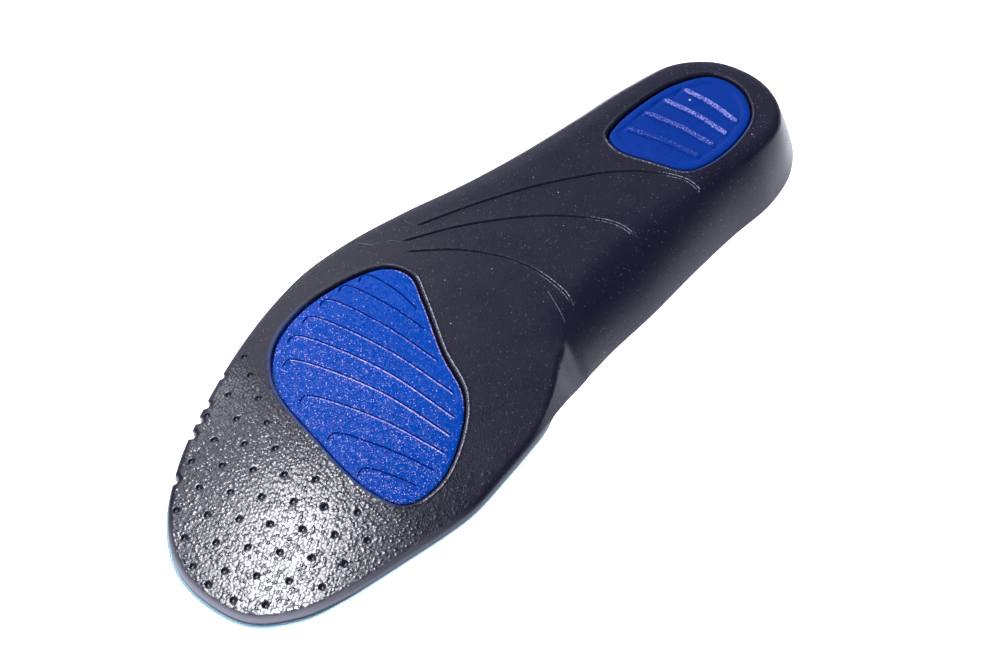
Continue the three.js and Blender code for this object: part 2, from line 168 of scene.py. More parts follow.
def outward_of(xy):
    """Outward normals of a closed loop that runs anticlockwise."""
    tangent = np.roll(xy, -1, 0) - np.roll(xy, 1, 0)
    tangent /= np.linalg.norm(tangent, axis=1)[:, None]
    return np.column_stack([tangent[:, 1], -tangent[:, 0]])


def unit(v):
    return v / np.linalg.norm(v, axis=1)[:, None]


def close_to(xy, x, y, width):
    """1 at a point, and fading out round it."""
    return np.exp(-((np.hypot(xy[:, 0] - x, xy[:, 1] - y) / width) ** 2))


edge_curve = spline(EDGE, EDGE_STEPS, True)
closer, width = NOTCH_CROWDING
crowd = 1 + closer * sum(close_to(edge_curve, x, y, width) for x, y, radius in NOTCHES)
closer, width = FLANGE_CROWDING
crowd += closer * close_to(edge_curve, *FLANGE_CORNER, width)
edge = spaced(edge_curve, EDGE_POINTS, True, crowd)
edge_xy = edge[:, :2]
outward = outward_of(edge_xy)
for x, y, radius in NOTCHES:
    away = np.array([x, y]) - edge_xy
    sideways = away @ np.array([[0, -1], [1, 0]])
    lateral = np.sum(sideways * outward, axis=1)
    near = (np.abs(lateral) < radius) & (np.linalg.norm(away, axis=1) < 3 * radius)
    bite = -np.sum(away * outward, axis=1) + np.sqrt(np.maximum(radius**2 - lateral**2, 0))
    edge_xy = edge_xy - outward * np.where(near, np.maximum(bite, 0), 0)[:, None]
toe_front = smooth(-edge_xy[:, 1], *TOE_FRONT) * smooth(outward @ CUT_SIDE, *TOE_FACING)
inset = mix(np.maximum(edge[:, 2], EDGE_ROUND), TOE_ROUND, toe_front)
flange = np.clip(edge[:, 3], 0, 1)
bulge = np.clip(edge[:, 4], 0, 1)
drawn = smooth(flange, 0, FLANGE_TURNED)
shoulder_xy = edge_xy - outward * inset[:, None]
edge_drop = mix(EDGE_DROP, TOE_DROP, toe_front)
tip = np.column_stack([edge_xy, (sole_height(*edge_xy.T) - edge_drop) * (1 - flange)])
outward3 = np.column_stack([outward, np.zeros(EDGE_POINTS)])
DOWN = np.array([0.0, 0.0, -1.0])
layer = unit(DOWN * (1 - drawn)[:, None] - outward3 * drawn[:, None])
shoulder_drop = mix(*SHOULDER_DROP, drawn)
thin_reach, flat_reach, round_reach = SHOULDER_REACH
wall_reach = mix(flat_reach, round_reach, np.clip(bulge / ROUND_WALL, 0, 1))
shoulder_reach = mix(thin_reach, wall_reach, drawn)


def wall_loop(share):
    """A loop round the outer wall, at a share of the way from the shoulder to the edge."""
    quarter = share * np.pi / 2
    out = mix(share, np.sin(quarter), bulge)
    down = mix(share, 1 - np.cos(quarter), bulge)
    xy = shoulder_xy + (edge_xy - shoulder_xy) * out[:, None]
    top = sole_height(*shoulder_xy.T) - shoulder_drop
    return np.column_stack([xy, mix(top, tip[:, 2], down)])


def spine_point(y):
    (x0, y0), (x1, y1) = SPINE
    along = np.clip((y - y0) / (y1 - y0), 0, 1)
    return np.column_stack([mix(x0, x1, along), mix(y0, y1, along)])


def foot_loops(depth, proud=0.0):
    """Loops over the foot side, from the edge to the middle, at a depth below the foam."""
    foam = mix(foam_thickness(tip[:, 1]) - edge_drop, RIM_FOAM, drawn)
    start = tip + layer * foam[:, None] + outward3 * np.broadcast_to(proud, EDGE_POINTS)[:, None]
    floor_xy = shoulder_xy - outward * mix(*COVE_WIDTH, drawn)[:, None]
    floor = on_sole(floor_xy, foam_thickness(floor_xy[:, 1]))
    bend = mix(start, floor, mix(*COVE_BEND, drawn)[:, None])
    bend[:, 2] = mix(bend[:, 2], floor[:, 2] - COVE_DIP, drawn)
    loops = []
    for s in COVE_SHARES:
        p = start * (1 - s) ** 2 + bend * 2 * s * (1 - s) + floor * s**2
        loops.append(p + unit(mix(layer, DOWN, s)) * depth)
    for s in FLOOR_SHARES:
        xy = mix(floor_xy, spine_point(floor_xy[:, 1]), s)
        loops.append(on_sole(xy, foam_thickness(xy[:, 1]) + depth))
    return loops


class Skin:
    """Points and faces of one piece, put together loop by loop."""

    def __init__(self):
        self.points = []
        self.faces = []
        self.masks = {}
        self.count = 0

    def add(self, xyz):
        self.points.append(np.asarray(xyz, float))
        ids = np.arange(self.count, self.count + len(xyz))
        self.count += len(xyz)
        return ids

    def band(self, upper, lower):
        a, b = np.roll(upper, -1), np.roll(lower, -1)
        self.faces += np.column_stack([upper, lower, b, a]).tolist()

    def bands(self, first, loops):
        for loop in loops:
            ring = self.add(loop)
            self.band(first, ring)
            first = ring
        return first

    def object(self, name, material, sharp=0.9):
        points = np.vstack(self.points) * MM
        mesh = bpy.data.meshes.new(name)
        mesh.from_pydata(points.tolist(), [], self.faces)
        mesh.validate()
        mesh.shade_smooth()
        mesh.set_sharp_from_angle(angle=sharp)
        mesh.materials.append(material)
        for label, values in self.masks.items():
            mesh.attributes.new(label, "FLOAT", "POINT").data.foreach_set("value", values)
        piece = bpy.data.objects.new(name, mesh)
        bpy.context.scene.collection.objects.link(piece)
        return piece


# points that are worked out at a time
CHUNK = 4000


def inside(xy, loop):
    """Which points lie inside a closed loop."""
    a, b = loop, np.roll(loop, -1, 0)
    found = np.zeros(len(xy), bool)
    for part in np.array_split(np.arange(len(xy)), max(1, len(xy) // CHUNK)):
        x, y = xy[part, 0][:, None], xy[part, 1][:, None]
        crosses = (a[:, 1] > y) != (b[:, 1] > y)
        rise = np.where(b[:, 1] == a[:, 1], 1, b[:, 1] - a[:, 1])
        right = x < (b[:, 0] - a[:, 0]) * (y - a[:, 1]) / rise + a[:, 0]
        found[part] = np.sum(crosses & right, axis=1) % 2 == 1
    return found


def nearest(xy, others):
    """Distance to the nearest of the other points, and which one it is."""
    tree = kdtree.KDTree(len(others))
    for index, (x, y) in enumerate(others):
        tree.insert((x, y, 0), index)
    tree.balance()
    found = [tree.find((x, y, 0))[1:] for x, y in xy]
    return np.array([gap for index, gap in found]), np.array([index for index, gap in found], int)


def across(xy, line):
    """Signed distance from a line (positive on its right) and the run along it, for each point."""
    a, b = line[:-1], line[1:]
    step = b - a
    length = np.linalg.norm(step, axis=1)
    run = np.concatenate([[0], np.cumsum(length)])[:-1]
    side, where = np.empty(len(xy)), np.empty(len(xy))
    for part in np.array_split(np.arange(len(xy)), max(1, len(xy) // CHUNK)):
        rel = xy[part, None, :] - a[None]
        t = np.clip(np.sum(rel * step[None], axis=2) / length**2, 0, 1)
        off = rel - step[None] * t[:, :, None]
        d = np.hypot(off[:, :, 0], off[:, :, 1])
        k = np.argmin(d, axis=1)
        rows = np.arange(len(part))
        turn = step[k, 0] * rel[rows, k, 1] - step[k, 1] * rel[rows, k, 0]
        side[part] = np.where(turn > 0, -1, 1) * d[rows, k]
        where[part] = run[k] + t[rows, k] * length[k]
    return side, where, run[-1] + length[-1]


def beside(line, offsets):
    """Rows of points that run beside a line at the given distances to its right."""
    tangent = unit(np.gradient(line, axis=0))
    right = np.column_stack([tangent[:, 1], -tangent[:, 0]])
    return np.vstack([line + right * offset for offset in offsets])


HONEYCOMB_ROW = 0.866


def honeycomb(low, high, pitch):
    """Points in staggered rows."""
    x = np.arange(low[0], high[0], pitch)
    rows = []
    for number, y in enumerate(np.arange(low[1], high[1], pitch * HONEYCOMB_ROW)):
        rows.append(np.column_stack([x + (number % 2) * pitch / 2, np.full(len(x), y)]))
    return np.vstack(rows)


SAME_POINT = 1e-6
NO_POINTS = np.empty((0, 2))


def fill(outline, holes=(), loose=NO_POINTS):
    """Triangles that fill an outline round its holes and take in the loose points."""
    loops = [outline, *holes]
    points = np.vstack([*loops, loose])
    edges, owner, start = [], np.full(len(points), -1), 0
    for number, loop in enumerate(loops):
        ids = np.arange(start, start + len(loop))
        edges += np.column_stack([ids, np.roll(ids, -1)]).tolist()
        owner[ids] = number
        start += len(loop)
    found = geometry.delaunay_2d_cdt([Vector(p) for p in points], edges, [], 0, SAME_POINT)
    first = np.array([source[0] for source in found[3]])
    triangles = first[np.array(found[2])]
    keep = np.ones(len(triangles), bool)
    for number, loop in enumerate(loops):
        own = np.flatnonzero(np.all(owner[triangles] == number, axis=1))
        within = inside(points[triangles[own]].mean(axis=1), loop)
        keep[own] = within if number == 0 else ~within
    return points, triangles[keep]


# outlines of the pads, which the pockets follow
FOREFOOT_PAD = [
    (-40.5, -48), (-36.5, -66.5), (-24.5, -77.5), (0.5, -82), (24.5, -83), (36.8, -78.5), (39.2, -66.5),
    (33, -51), (23, -39.5), (7, -33), (-13, -22.5), (-24, -18), (-33, -22),
]
HEEL_PAD = [
    (-14.5, 72.4), (-8, 70.4), (5, 74.6), (15.5, 79), (19, 85.5), (20.2, 100), (16.5, 113), (6, 119.8),
    (-5.5, 118), (-13.2, 106), (-16.3, 89), (-16.2, 78),
]
PAD_STEPS = 40
forefoot_outline = spaced(spline(FOREFOOT_PAD, PAD_STEPS, True), 300, True)
heel_outline = spaced(spline(HEEL_PAD, PAD_STEPS, True), 200, True)
pad_outlines = (forefoot_outline, heel_outline)
FOREFOOT_PAD_DEPTH = 2.2
HEEL_PAD_DEPTH = 4.0
POCKET_FIT = 0.35
# the moat round a pad is wide on its outer and heel sides: narrow and wide width, the side, and where it
# widens towards that side
MOAT = (0.45, 1.15)
MOAT_SIDE = np.array([-0.8, 0.6])
MOAT_WIDENS = (-0.5, 0.6)
# section of the pocket's wall: share of the moat's width, extra width and share of the depth
POCKET_SECTION = [(1, 0.3, 0), (1, 0.12, 0.02), (1, 0, 0.09), (0.8, 0, 0.35), (0.35, 0, 0.65), (0, 0, 1)]

# the foam stands up in a small rounded ridge round each pocket: distance from the pad's moat, half width
# and height, the rows of points that carry it, and the points of the line that it is measured from
RIDGE = (0.85, 0.28, 0.13)
RIDGE_ROWS = (0.5, 0.68, 0.85, 1.02, 1.25, 1.6)
RIM_POINTS = 1600
# a film of blue gel lies on the foam along one side of each pocket: side, where it begins and is full
# towards that side, and strength; then the distances over which it thins out
FILM_SIDES = [(np.array([-0.5, -0.86]), 0.35, 0.75, 1.0), (np.array([1.0, 0.0]), 0.8, 1.0, 0.6)]
FILM_WIDTH = (0.5, 1.3)
# where a highlight is painted on the ridge of each pocket: side and share, and how far it has to face
# that side
HIGHLIGHT_SIDES = [(np.array([0.85, 0.53]), 0.95), (np.array([0.1, -0.995]), 0.7)]
HIGHLIGHT_FACING = (0.3, 0.8)
# the lips of the flex lines get a painted highlight at their inner ends: over what length, the share of
# it where the highlight is full, the tip without it, and the painted strip's distance from the line,
# half width and strength
LIP_HIGHLIGHT = 28.0
LIP_HIGHLIGHT_FULL = 0.4
LIP_HIGHLIGHT_TIP = 3.0
LIP_HIGHLIGHT_STRIP = (0.55, 0.17, 0.9)
# the trimmed toe shows raw foam, painted lighter also as a sheen of the light from the front: where it
# begins and is full towards the toe, how far an edge has to face the trimmed side, and how far it
# reaches onto the sole
CUT_EDGE = (30.0, 115.0)
CUT_FACING = (0.3, 0.85)
CUT_REACH = (1.3, 0.0)

HOLE_ORIGIN = np.array([2.3, -107.2])
HOLE_COLUMN_STEP = np.array([8.6, 5.5])
HOLE_ROW_STEP = np.array([9.0, -4.3])
# rows of air holes: row, first and last column
HOLE_ROWS = [
    (-5, 1, 1), (-4, 0, 1), (-3, -1, 1), (-2, -1, 1), (-1, -2, 2), (0, -2, 3), (1, -3, 3), (2, -3, 2),
    (3, -3, 1), (4, -2, -1),
]
STRAY_HOLES = [(-41.2, -76.8), (11.7, -137.2)]
HOLE_SIDES = 20
HOLE_CLEAR = 0.3
# section of an air hole: radius and depth
HOLE_SECTION = [(0.96, 0), (0.9, 0.05), (0.85, 0.24), (0.78, 0.46), (0.62, 0.6), (0.34, 0.66)]
# flex lines over the arch, each from the outer side to the inner wall
FLEX_LINES = [
    [(-37.5, -1.5), (-27, 23), (-15.6, 44), (1, 65.3), (17.6, 75.3), (27, 75.5)],
    [(-36.3, -9.5), (-24.7, 10.5), (-5.5, 33.3), (12.2, 45), (21.5, 46)],
    [(-32.2, -11.5), (-16.9, 2.7), (1, 11.5), (18.1, 12.4), (24, 11)],
]
# faint seams beside their ends, left by the mould
SEAMS = [
    [(-44.2, -2.8), (-41, -2.5), (-37.2, -1.7)],
    [(-49.4, -21), (-43, -17.2), (-39.6, -12), (-36.2, -9.9)],
    [(13.2, 9), (19.7, 6.8), (27.1, 3.7), (31.5, 0.8)],
]
SEAM_SHARE = 0.2
LINE_STEPS = 30
FLEX_POINTS = 190
SEAM_POINTS = 40
FLEX_DEPTH = 0.65
FLEX_HALF_WIDTH = 0.42
# the lip beside a flex line: distance, half width and height
FLEX_LIP = (0.6, 0.22, 0.07)
# a flex line runs in over the first length and loses half its depth over the second
FLEX_RUNS = (3.0, 6.0)
FLEX_END = 0.5
FLEX_ROWS = (-1.4, -0.8, -0.55, -0.4, -0.2, 0, 0.2, 0.4, 0.55, 0.8, 1.4)
# points that fill the sole: field, spacing, and how far they keep from rows of points and from loops
SOLE_FIELD = ((-54, -142), (54, 142))
GRID_PITCH = 1.15
ROW_CLEAR = 0.45
LOOP_CLEAR = 0.25
# pebbles of the toe: field, spacing, how far each strays from its place, radius, least and most height,
# and how rare the tall ones are
PEBBLE_FIELD = ((-52, -141), (52, -45))
PEBBLE_PITCH = 1.2
PEBBLE_STRAY = 0.34
PEBBLE_RADIUS = 0.6
PEBBLE_HEIGHT = (0.012, 0.13)
PEBBLE_FEW_TALL = 2.5
# the ring of points round each pebble, how far the valleys keep from it, and how far pebbles keep from
# the holes and pockets
PEBBLE_RING = 0.36
VALLEY_CLEAR = 0.08
PEBBLE_GAP = 0.32
# where pebbles begin towards the toe, and where they end at the edge
PEBBLES_FADE = (45.0, 85.0)
PEBBLES_END = (0.8, 1.8)
# shine of the toe's skin between the pebbles and in the holes, where it ends at the edge, and where it
# begins towards the toe
VALLEY_SHINE = 0.34
HOLE_SHINE = 0.45
SHINE_ENDS = (-0.2, 1.7)
TOE_SKIN = (58.0, 100.0)


def pocket_line(outline, wide, extra):
    """A line round a pocket: a share of the moat's width outside the pad, and some more."""
    normal = outward_of(outline)
    moat = mix(*MOAT, smooth(normal @ MOAT_SIDE, *MOAT_WIDENS))
    return outline + normal * (POCKET_FIT + wide * (moat - POCKET_FIT) + extra)[:, None]


def pocket_loops(outline, depth):
    return [
        on_sole(pocket_line(outline, wide, extra), deep * (depth + POCKET_FIT))[::-1]
        for wide, extra, deep in POCKET_SECTION
    ]


def pebble_mask(xy):
    """How strongly the foam is pebbled: at the toe, but not along its edge."""
    gap, index = nearest(xy, edge_xy)
    return smooth(-xy[:, 1], *PEBBLES_FADE) * smooth(gap, *PEBBLES_END)


def pebble_seeds(loops):
    """Middles of the pebbles, clear of the holes and pockets."""
    chance = np.random.default_rng(7)
    seeds = honeycomb(*PEBBLE_FIELD, PEBBLE_PITCH)
    seeds = seeds + chance.uniform(-PEBBLE_STRAY, PEBBLE_STRAY, seeds.shape)
    seeds = seeds[inside(seeds, shoulder_xy)]
    for loop in loops:
        seeds = seeds[~inside(seeds, loop)]
    ridges = [pocket_line(outline, 1, RIDGE[0]) for outline in pad_outlines]
    gap, index = nearest(seeds, np.vstack([*loops, *ridges]))
    seeds = seeds[gap > PEBBLE_GAP]
    return seeds[chance.uniform(size=len(seeds)) < pebble_mask(seeds)]


def pebble_points(seeds):
    """Points that carry the pebbles' shape: their tops, a ring round each and the valleys between."""
    turn = np.arange(6) * np.pi / 3
    ring = PEBBLE_RING * np.column_stack([np.cos(turn), np.sin(turn)])
    rings = (seeds[:, None, :] + ring[None]).reshape(-1, 2)
    found = geometry.delaunay_2d_cdt([Vector(p) for p in seeds], [], [], 0, SAME_POINT)
    corners = seeds[np.array(found[2])]
    sides = np.linalg.norm(corners - np.roll(corners, 1, axis=1), axis=2).max(axis=1)
    corners = corners[sides < 2 * PEBBLE_PITCH]
    middles = np.vstack([(corners[:, 0] + corners[:, 1]) / 2, (corners[:, 1] + corners[:, 2]) / 2])
    valleys = np.vstack([corners.mean(axis=1), middles])
    gap, index = nearest(valleys, seeds)
    valleys = valleys[gap > PEBBLE_RING + VALLEY_CLEAR]
    return np.vstack([seeds, rings, np.unique(valleys.round(3), axis=0)])


def foam_skin():
    """The whole skin of the foam: sole, outer wall, foot side, pockets and holes."""
    skin = Skin()
    pockets = [
        pocket_loops(forefoot_outline, FOREFOOT_PAD_DEPTH),
        pocket_loops(heel_outline, HEEL_PAD_DEPTH),
    ]
    turn = -np.arange(HOLE_SIDES) / HOLE_SIDES * 2 * np.pi
    circle = np.column_stack([np.cos(turn), np.sin(turn)])
    lattice = [
        HOLE_ORIGIN + column * HOLE_COLUMN_STEP + row * HOLE_ROW_STEP
        for row, first, last in HOLE_ROWS
        for column in range(first, last + 1)
    ]
    centres = np.vstack([lattice, STRAY_HOLES])
    gap, index = nearest(centres, shoulder_xy)
    short = np.maximum(HOLE_SECTION[0][0] + HOLE_CLEAR - gap, 0)
    centres = centres - outward[index] * short[:, None]
    holes = [[on_sole(c + circle * radius, depth) for radius, depth in HOLE_SECTION] for c in centres]
    lines = [spaced(spline(line, LINE_STEPS, False), FLEX_POINTS, False) for line in FLEX_LINES]
    lines += [spaced(spline(line, LINE_STEPS, False), SEAM_POINTS, False) for line in SEAMS]
    line_rows = [beside(line, FLEX_ROWS) for line in lines]
    ridges = [pocket_line(outline, 1, extra) for outline in pad_outlines for extra in RIDGE_ROWS]
    rows = np.vstack([*line_rows, *ridges])
    loops = [h[0] for h in pockets + holes]
    seeds = pebble_seeds([loop[:, :2] for loop in loops])
    pebbles = pebble_points(seeds)
    grid = honeycomb(*SOLE_FIELD, GRID_PITCH)
    gap, index = nearest(grid, np.vstack([rows, pebbles]))
    loose = np.vstack([rows, pebbles, grid[gap > ROW_CLEAR]])
    ring = np.vstack([shoulder_xy, *[loop[:, :2] for loop in loops]])
    loose = loose[inside(loose, shoulder_xy)]
    for loop in loops[:2]:
        loose = loose[~inside(loose, loop[:, :2])]
    gap, index = nearest(loose, centres)
    loose = loose[gap > HOLE_SECTION[0][0] + LOOP_CLEAR]
    gap, index = nearest(loose, ring)
    loose = loose[gap > LOOP_CLEAR]

    points, triangles = fill(shoulder_xy, [loop[:, :2] for loop in loops], loose)
    gap, index = nearest(points, shoulder_xy)
    drop = shoulder_drop[index] * np.clip(1 - gap / shoulder_reach[index], 0, 1) ** 2
    trimmed = smooth(-edge_xy[:, 1], *CUT_EDGE) * smooth(outward @ CUT_SIDE, *CUT_FACING)
    # raw cut foam along the trimmed toe, its lighter colour also a painted sheen
    raw_and_sheen = smooth(gap, *CUT_REACH) * trimmed[index]
    unworn = smooth(gap, *SHINE_ENDS)
    # painted highlights on the lips of the flex lines near their inner ends, and on the pockets' ridges
    rubbed = np.zeros(len(points))
    run_in, run_out = FLEX_RUNS
    for number, line in enumerate(lines):
        side, where, length = across(points, line)
        fade = smooth(where, 0, run_in) * (1 - FLEX_END * smooth(where, length - run_out, length))
        near = np.abs(side)
        if number < len(FLEX_LINES):
            end = smooth(where, length - LIP_HIGHLIGHT, length - LIP_HIGHLIGHT_FULL * LIP_HIGHLIGHT)
            end *= 1 - smooth(where, length - LIP_HIGHLIGHT_TIP, length)
            middle, half, share = LIP_HIGHLIGHT_STRIP
            rubbed = np.maximum(rubbed, share * end * np.exp(-(((near - middle) / half) ** 2)))
        else:
            fade = SEAM_SHARE * fade
        drop += fade * FLEX_DEPTH * np.clip(1 - (near / FLEX_HALF_WIDTH) ** 2, 0, 1)
        middle, half, high = FLEX_LIP
        drop -= fade * high * np.exp(-(((near - middle) / half) ** 2))
    middle, half, high = RIDGE
    for outline, (rubbed_side, share) in zip(pad_outlines, HIGHLIGHT_SIDES):
        rim = spaced(pocket_line(outline, 1, 0), RIM_POINTS, True)
        gap, index = nearest(points, rim)
        ridge = np.exp(-(((gap - middle) / half) ** 2))
        drop -= high * ridge
        facing = smooth(outward_of(rim)[index] @ rubbed_side, *HIGHLIGHT_FACING)
        rubbed = np.maximum(rubbed, share * ridge * facing)
    gap, index = nearest(points, seeds)
    luck = np.random.default_rng(11).uniform(size=len(seeds))
    tall = mix(*PEBBLE_HEIGHT, luck**PEBBLE_FEW_TALL)[index]
    pebble = np.clip(1 - (gap / PEBBLE_RADIUS) ** 2, 0, 1)
    drop -= tall * pebble
    sole = skin.add(on_sole(points, drop))
    skin.faces += sole[triangles].tolist()

    walls = [wall_loop(share) for share in WALL_SHARES]
    wall_start = skin.count
    tip_ring = skin.bands(sole[:EDGE_POINTS], walls)
    wall_end = skin.count
    last = skin.bands(tip_ring, foot_loops(0))
    inner = np.vstack(skin.points)[last]
    skin.faces += last[fill(inner[:, :2])[1]][:, ::-1].tolist()

    start = EDGE_POINTS
    for number, section in enumerate(pockets + holes):
        if number == len(pockets):
            holes_start = skin.count
        rim = sole[start : start + len(section[0])]
        start += len(section[0])
        last = skin.bands(rim, section[1:])
        floor = section[-1][:, :2]
        skin.faces += last[::-1][fill(floor[::-1])[1]].tolist()
    skin.masks["gel_film"] = np.zeros(skin.count)
    for outline, (film_side, begins, full, strength) in zip(pad_outlines, FILM_SIDES):
        rim = spaced(pocket_line(outline, 1, 0), RIM_POINTS, True)
        gap, index = nearest(np.vstack(skin.points)[:, :2], rim)
        film = strength * smooth(outward_of(rim)[index] @ film_side, begins, full)
        skin.masks["gel_film"] += film * (1 - smooth(gap, *FILM_WIDTH))
    skin.masks["pebble"] = np.zeros(skin.count)
    toe_skin = smooth(-points[:, 1], *TOE_SKIN)
    skin.masks["pebble"][sole] = mix(VALLEY_SHINE, 1, pebble) * toe_skin * unworn
    skin.masks["pebble"][holes_start:] = HOLE_SHINE
    skin.masks["rubbed"] = np.zeros(skin.count)
    skin.masks["rubbed"][sole] = rubbed
    skin.masks["cut"] = np.zeros(skin.count)
    skin.masks["cut"][sole] = raw_and_sheen
    skin.masks["cut"][wall_start:wall_end] = np.tile(trimmed, len(walls))
    return skin


def node(tree, kind, inputs=(), **settings):
    """A shader node; inputs maps its sockets to values or to the outputs that feed them."""
    made = tree.nodes.new("ShaderNode" + kind)
    for name, value in settings.items():
        setattr(made, name, value)
    for key, value in dict(inputs).items():
        if isinstance(value, bpy.types.NodeSocket):
            tree.links.new(value, made.inputs[key])
        else:
            made.inputs[key].default_value = value
    return made


def sum_of(tree, a, b):
    return node(tree, "Math", {0: a, 1: b}, operation="ADD").outputs[0]


def product(tree, a, b):
    return node(tree, "Math", {0: a, 1: b}, operation="MULTIPLY").outputs[0]


def ramp(tree, value, low, high, to_low=0.0, to_high=1.0):
    """The value carried from one range to another, eased at both ends."""
    ranges = {"From Min": low, "From Max": high, "To Min": to_low, "To Max": to_high}
    made = node(tree, "MapRange", {"Value": value, **ranges}, interpolation_type="SMOOTHSTEP")
    return made.outputs["Result"]


def blend(tree, share, a, b):
    """One colour laid over another by a share."""
    return node(tree, "Mix", {0: share, 6: a, 7: b}, data_type="RGBA").outputs[2]


def effect(name, inputs, outputs):
    """An empty node group with named sockets, for an effect that several materials share."""
    tree = bpy.data.node_groups.new(name, "ShaderNodeTree")
    for label, value in inputs.items():
        socket = tree.interface.new_socket(label, in_out="INPUT", socket_type="NodeSocketFloat")
        socket.default_value = value
    for label, kind in outputs.items():
        tree.interface.new_socket(label, in_out="OUTPUT", socket_type="NodeSocket" + kind)
    return tree, tree.nodes.new("NodeGroupInput").outputs, tree.nodes.new("NodeGroupOutput").inputs


def surface(name):
    """A new material, its node tree and its shader."""
    made = bpy.data.materials.new(name)
    made.use_nodes = True
    return made, made.node_tree, made.node_tree.nodes["Principled BSDF"]


def per_metre(tree, millimetres):
    """Texture scale that gives cells of a size in millimetres."""
    return node(tree, "Math", {0: 1000.0, 1: millimetres}, operation="DIVIDE").outputs[0]


# dust and lint in single specks, greyish white, pinkish or tan: where each tone begins, and the tone
DUST_TONES = [
    (0.0, (0.5, 0.52, 0.56, 1)),
    (0.65, (0.5, 0.38, 0.38, 1)),
    (0.88, (0.42, 0.31, 0.2, 1)),
]
# the radius of the smallest speck as a share of Size, and the share of a radius where a speck is full
LEAST_SPECK = 0.25
SPECK_CORE = 0.5
# the same specks also paint glints and a haze of sheen on the forefoot gel
dust_and_glint_tree, given, result = effect(
    "dust_and_glint_specks", {"Spacing": 4.0, "Share": 0.2, "Size": 0.1}, {"Mask": "Float", "Colour": "Color"}
)
place = node(dust_and_glint_tree, "TexCoord").outputs["Object"]
cells = node(dust_and_glint_tree, "TexVoronoi", {"Vector": place, "Scale": per_metre(dust_and_glint_tree, given["Spacing"])})
chance = node(dust_and_glint_tree, "SeparateColor", {0: cells.outputs["Color"]}).outputs
there = node(dust_and_glint_tree, "Math", {0: chance["Red"], 1: given["Share"]}, operation="LESS_THAN").outputs[0]
radius = product(dust_and_glint_tree, sum_of(dust_and_glint_tree, chance["Green"], LEAST_SPECK), given["Size"])
speck = ramp(dust_and_glint_tree, cells.outputs["Distance"], radius, product(dust_and_glint_tree, radius, SPECK_CORE))
dust_and_glint_tree.links.new(product(dust_and_glint_tree, speck, there), result["Mask"])
tones = node(dust_and_glint_tree, "ValToRGB", {0: chance["Blue"]})
tones.color_ramp.interpolation = "CONSTANT"
for position, colour in DUST_TONES:
    stop = tones.color_ramp.elements.new(position)
    stop.color = colour
dust_and_glint_tree.links.new(tones.outputs["Color"], result["Colour"])


def specks_of_dust_and_glint(tree, spacing, share, size):
    """Specks of dust, and on the forefoot gel specks of painted glint and haze: their spacing in mm, the
    share of places that hold one, and their size.
    """
    sizes = {"Spacing": spacing, "Share": share, "Size": size}
    return node(tree, "Group", sizes, node_tree=dust_and_glint_tree).outputs


# fine moulded grain: a height for the bump and a cloudy tone
grain, given, result = effect("moulded_grain", {"Size": 0.5}, {"Height": "Float", "Tone": "Float"})
place = node(grain, "TexCoord").outputs["Object"]
scale = per_metre(grain, given["Size"])
fine = node(grain, "TexNoise", {"Vector": place, "Scale": scale, "Detail": 3.0})
broad = node(grain, "TexNoise", {"Vector": place, "Scale": 60.0, "Detail": 4.0, "Roughness": 0.6})
grain.links.new(fine.outputs["Fac"], result["Height"])
grain.links.new(broad.outputs["Fac"], result["Tone"])

# grains of a skin that each lie at their own tilt, and so glint one by one
glints, given, result = effect("glinting_grains", {"Size": 0.5, "Tilt": 0.5}, {"Normal": "Vector"})
place = node(glints, "TexCoord").outputs["Object"]
cells = node(glints, "TexVoronoi", {"Vector": place, "Scale": per_metre(glints, given["Size"])})
again = node(glints, "TexWhiteNoise", {"Vector": cells.outputs["Position"]}, noise_dimensions="3D")
draws = {0: cells.outputs["Color"], 1: again.outputs["Color"]}
lean = node(glints, "VectorMath", draws, operation="SUBTRACT").outputs[0]
lean = node(glints, "VectorMath", {0: lean, "Scale": given["Tilt"]}, operation="SCALE").outputs[0]
straight = node(glints, "NewGeometry").outputs["Normal"]
tilted = node(glints, "VectorMath", {0: straight, 1: lean}, operation="ADD").outputs[0]
tilted = node(glints, "VectorMath", {0: tilted}, operation="NORMALIZE").outputs[0]
glints.links.new(tilted, result["Normal"])


def mask_of(tree, name):
    """A mask that the mesh carries at its points."""
    return node(tree, "Attribute", attribute_name=name).outputs["Fac"]


def rubbed_off(tree, grains, mask, strength, begins, full):
    """How much painted highlight a mask lays on the skin; it takes the tops of the grain first."""
    painted_highlight = product(tree, mask_of(tree, mask), strength)
    return ramp(tree, sum_of(tree, grains["Height"], painted_highlight), begins, full)


# colours of the foam: moulded skin from dark to light, raw cut foam painted lighter also as a sheen,
# film of gel and painted highlights on the edges
FOAM_BLACK = ((0.007, 0.007, 0.019, 1), (0.013, 0.013, 0.027, 1))
FOAM_CUT_AND_SHEEN = (0.2, 0.2, 0.235, 1)
FOAM_FILM = (0.06, 0.1, 0.33, 1)
FOAM_HIGHLIGHT = (0.36, 0.35, 0.43, 1)
# how much of the foam the film hides at most, and the powder of dust
FILM_COVER = 0.5
POWDER_COVER = 0.28
# cloudy tones of the grain between which roughness goes from low to high
CLOUDS = (0.3, 0.7)
FOAM_ROUGHNESS = (0.26, 0.31)
CUT_ROUGHNESS = 0.3

foam_material, tree, foam_shader = surface("black_foam")
specks = specks_of_dust_and_glint(tree, 2.8, 0.2, 0.08)
powder = specks_of_dust_and_glint(tree, 0.8, 0.45, 0.22)
grains = node(tree, "Group", {"Size": 0.5}, node_tree=grain).outputs
bump = node(tree, "Bump", {"Height": grains["Height"], "Distance": 0.09 * MM})
tree.links.new(bump.outputs["Normal"], foam_shader.inputs["Normal"])
black = blend(tree, grains["Tone"], *FOAM_BLACK)
cut = mask_of(tree, "cut")
